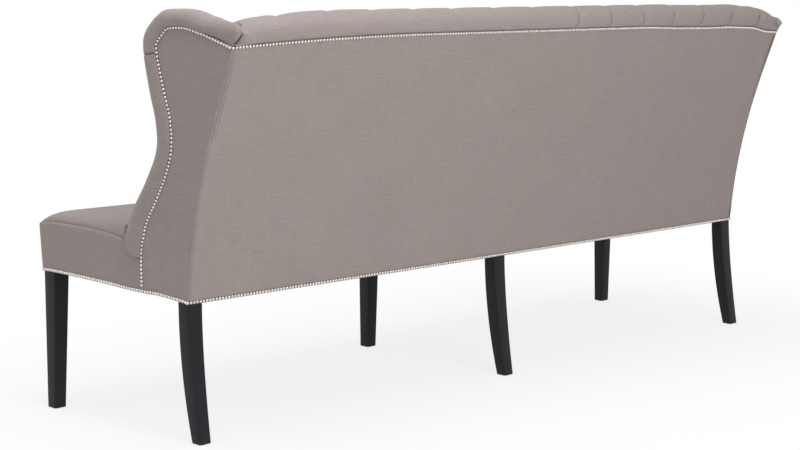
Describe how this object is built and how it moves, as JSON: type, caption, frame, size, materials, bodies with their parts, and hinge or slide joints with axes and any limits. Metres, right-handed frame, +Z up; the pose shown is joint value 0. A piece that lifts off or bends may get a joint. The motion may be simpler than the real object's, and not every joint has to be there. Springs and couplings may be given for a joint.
{
  "type": "upholstered banquette bench",
  "caption": "Long upholstered banquette bench with a buttoned raked back, padded wings, boxed seat, nail trim and tapered and swept legs.",
  "frame": {"origin": "on the floor, under the middle of the bench's bounding box", "axes": "+X to the sitter's left hand end (right as seen from in front), +Y towards the back, +Z up"},
  "size_m": [2.2942, 0.7468, 1.0399],
  "materials": {
    "timber": "planed beech, unfinished",
    "legs": "black satin lacquer",
    "board": "brown hardboard",
    "cover": "taupe linen weave with slubs",
    "webbing": "jute webbing",
    "dust_cloth": "black felted cloth",
    "nails": "bright nickel, domed",
    "bolts": "zinc plated",
    "glides": "moulded"
  },
  "bodies": {
    "root": {"front_rail": "timber", "rear_rail": "timber", "end_rail_left": "timber", "end_rail_right": "timber", "cross_rail_left": "timber", "cross_rail_centre": "timber", "cross_rail_right": "timber", "corner_blocks": "timber", "front_leg_left": "legs", "front_leg_centre": "legs", "front_leg_right": "legs", "rear_leg_left": "legs", "rear_leg_centre": "legs", "rear_leg_right": "legs", "leg_bolts": "bolts", "floor_glides": "glides", "back_post_left": "timber", "back_post_mid_left": "timber", "back_post_centre": "timber", "back_post_mid_right": "timber", "back_post_right": "timber", "back_top_rail": "timber", "back_lower_rail": "timber", "back_webbing": "webbing", "seat_webbing_cross": "webbing", "seat_webbing_long": "webbing", "wing_panel_left": "timber", "wing_panel_right": "timber", "wing_pad_left": "cover", "wing_pad_right": "cover", "seat_pad": "cover", "inside_back_pad": "cover", "top_roll": "cover", "outside_back_board": "board", "outside_back_cover": "cover", "outside_wing_cover_left": "cover", "outside_wing_cover_right": "cover", "seat_front_cover": "cover", "seat_end_cover_left": "cover", "seat_end_cover_right": "cover", "tuft_buttons": "cover", "nail_strip_lower": "nails", "nail_strip_back_top": "nails", "nail_strip_wing_left": "nails", "nail_strip_wing_right": "nails", "dust_cover": "dust_cloth"}
  },
  "joints": []
}
